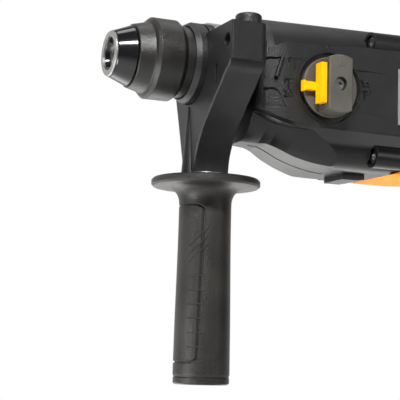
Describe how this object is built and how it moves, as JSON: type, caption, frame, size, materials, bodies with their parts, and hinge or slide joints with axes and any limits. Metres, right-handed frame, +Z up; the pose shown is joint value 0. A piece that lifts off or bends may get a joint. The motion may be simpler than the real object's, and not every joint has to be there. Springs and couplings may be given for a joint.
{
  "type": "rotary hammer",
  "caption": "In-line rotary hammer: SDS-plus chuck, hammer mechanism, gear train and motor in a black and orange casing, with a swivelling side handle and a D-shaped rear handle.",
  "frame": {"origin": "mouth of the tool-holder bore, on the spindle axis", "axes": "+X back along the spindle towards the rear handle, -Y the side with the mode knob, +Z up"},
  "size_m": [0.3909, 0.0994, 0.2327],
  "materials": {
    "black_plastic": "fine moulded grain",
    "belly_plastic": "satin moulding",
    "sleeve_plastic": "fine moulded grain",
    "nose_plastic": "polished",
    "nose_trim": "satin",
    "orange_plastic": "satin moulding",
    "yellow_plastic": "satin moulding",
    "knob_plastic": "fine moulded grain",
    "grip_plastic": "satin moulding",
    "rubber": "matt",
    "steel": "ground",
    "dark_steel": "blackened",
    "spring_steel": "drawn",
    "aluminium": "cast",
    "brass": "satin",
    "copper": "enamelled wire",
    "carbon": "pressed carbon",
    "label": "brushed"
  },
  "bodies": {
    "casing": {"neck_collar": "black_plastic", "gear_housing": "black_plastic", "belly_cover": "belly_plastic", "bearing_plate": "aluminium", "motor_plate": "aluminium", "motor_housing": "orange_plastic", "housing_screws": "steel", "label_plates": "label", "dial_ring": "black_plastic", "stator_core": "dark_steel", "field_windings": "copper", "brush_holders": "brass", "brushes": "carbon", "front_seal": "rubber", "spindle_bearings": "steel", "layshaft_bearings": "steel", "motor_bearings": "steel", "handle_left": "black_plastic", "handle_right": "black_plastic", "switch_body": "belly_plastic", "cable_gland": "rubber", "handle_screws": "steel"},
    "spindle": {"spindle": "steel", "spindle_gear": "dark_steel", "clutch_ring": "dark_steel", "clutch_spring": "spring_steel", "dust_cap": "nose_plastic", "nose_ring": "nose_trim", "sleeve_spring": "spring_steel"},
    "lock_sleeve": {"lock_sleeve": "sleeve_plastic", "locking_ring": "steel"},
    "lock_ball_left": {"lock_ball_left": "steel"},
    "lock_ball_right": {"lock_ball_right": "steel"},
    "impact_bolt": {"impact_bolt": "steel"},
    "striker": {"striker": "steel", "striker_seal": "rubber"},
    "piston": {"piston": "aluminium"},
    "piston_pin": {"piston_pin": "steel"},
    "wobble_ring": {"wobble_ring": "dark_steel", "wobble_balls": "steel"},
    "layshaft": {"layshaft": "steel", "layshaft_gear": "dark_steel", "wobble_hub": "steel"},
    "armature": {"armature_shaft": "steel", "armature_core": "dark_steel", "armature_windings": "copper", "commutator": "copper", "fan": "belly_plastic"},
    "mode_knob": {"mode_knob": "knob_plastic", "knob_screw": "dark_steel"},
    "release_button": {"release_button": "yellow_plastic"},
    "side_handle": {"side_bracket": "black_plastic", "clamp_strap": "steel", "clamp_bolt": "steel"},
    "side_grip": {"side_grip": "grip_plastic", "grip_end_cap": "grip_plastic"},
    "depth_button": {"depth_button": "grip_plastic"},
    "trigger": {"trigger": "grip_plastic"},
    "lock_button": {"lock_button": "grip_plastic"},
    "direction_slider": {"direction_slider": "grip_plastic"}
  },
  "joints": [
    {"name": "armature_spin", "type": "hinge", "parent": "casing", "child": "armature", "pos_m": [0.22, 0, -0.016], "axis": [1, 0, 0], "continuous": true},
    {"name": "layshaft_spin", "type": "hinge", "parent": "casing", "child": "layshaft", "pos_m": [0.13, 0, -0.036], "axis": [1, 0, 0], "continuous": true},
    {"name": "spindle_spin", "type": "hinge", "parent": "casing", "child": "spindle", "pos_m": [0, 0, 0], "axis": [1, 0, 0], "continuous": true},
    {"name": "wobble_rock", "type": "hinge", "parent": "casing", "child": "wobble_ring", "pos_m": [0.14, 0, -0.036], "axis": [0, 1, 0], "range_deg": [-11, 11]},
    {"name": "piston_stroke", "type": "slide", "parent": "casing", "child": "piston", "axis": [1, 0, 0], "range_m": [-0.0068, 0.0068]},
    {"name": "piston_pin_turn", "type": "hinge", "parent": "piston", "child": "piston_pin", "pos_m": [0.14, 0, 0], "axis": [0, 1, 0], "range_deg": [-11.1, 11.1]},
    {"name": "striker_stroke", "type": "slide", "parent": "casing", "child": "striker", "axis": [1, 0, 0], "range_m": [-0.01, 0]},
    {"name": "impact_bolt_stroke", "type": "slide", "parent": "spindle", "child": "impact_bolt", "axis": [1, 0, 0], "range_m": [0, 0.003]},
    {"name": "sleeve_pull", "type": "slide", "parent": "spindle", "child": "lock_sleeve", "axis": [1, 0, 0], "range_m": [0, 0.0045], "stiffness_N_per_m": 1500, "springref_m": -0.005, "deforming": ["sleeve_spring"]},
    {"name": "lock_ball_left_out", "type": "slide", "parent": "spindle", "child": "lock_ball_left", "axis": [0, -1, 0], "range_m": [0, 0.0019]},
    {"name": "lock_ball_right_out", "type": "slide", "parent": "spindle", "child": "lock_ball_right", "axis": [0, 1, 0], "range_m": [0, 0.0019]},
    {"name": "mode_knob_turn", "type": "hinge", "parent": "casing", "child": "mode_knob", "pos_m": [0.1279, -0.036, -0.0135], "axis": [0, -1, 0], "range_deg": [-90, 90]},
    {"name": "release_press", "type": "slide", "parent": "mode_knob", "child": "release_button", "axis": [1, 0, 0], "range_m": [0, 0.0016], "stiffness_N_per_m": 1000, "springref_m": -0.001},
    {"name": "side_handle_swivel", "type": "hinge", "parent": "casing", "child": "side_handle", "pos_m": [0.0622, 0, 0], "axis": [1, 0, 0], "range_deg": [-180, 180]},
    {"name": "side_grip_screw", "type": "hinge", "parent": "side_handle", "child": "side_grip", "pos_m": [0.0622, 0, -0.08], "axis": [0, 0, 1], "range_deg": [0, 360]},
    {"name": "depth_button_press", "type": "slide", "parent": "side_handle", "child": "depth_button", "axis": [0, 0, -1], "range_m": [0, 0.0015], "stiffness_N_per_m": 1000, "springref_m": -0.001},
    {"name": "trigger_pull", "type": "slide", "parent": "casing", "child": "trigger", "axis": [1, 0, 0], "range_m": [0, 0.005], "stiffness_N_per_m": 1200, "springref_m": -0.003},
    {"name": "lock_button_press", "type": "slide", "parent": "casing", "child": "lock_button", "axis": [0, 1, 0], "range_m": [0, 0.0025], "stiffness_N_per_m": 800, "springref_m": -0.001},
    {"name": "direction_slide", "type": "slide", "parent": "casing", "child": "direction_slider", "axis": [0, 1, 0], "range_m": [-0.003, 0.003]}
  ],
  "couplings": [
    {"joint": "layshaft_spin", "follows": "armature_spin", "ratio": -0.21951},
    {"joint": "spindle_spin", "follows": "armature_spin", "ratio": 0.049278},
    {"joint": "wobble_rock", "follows": "piston_stroke", "rad_per_m": 27.778},
    {"joint": "piston_pin_turn", "follows": "piston_stroke", "rad_per_m": 27.778},
    {"joint": "lock_ball_left_out", "follows": "sleeve_pull", "ratio": 0.42222},
    {"joint": "lock_ball_right_out", "follows": "sleeve_pull", "ratio": 0.42222}
  ]
}
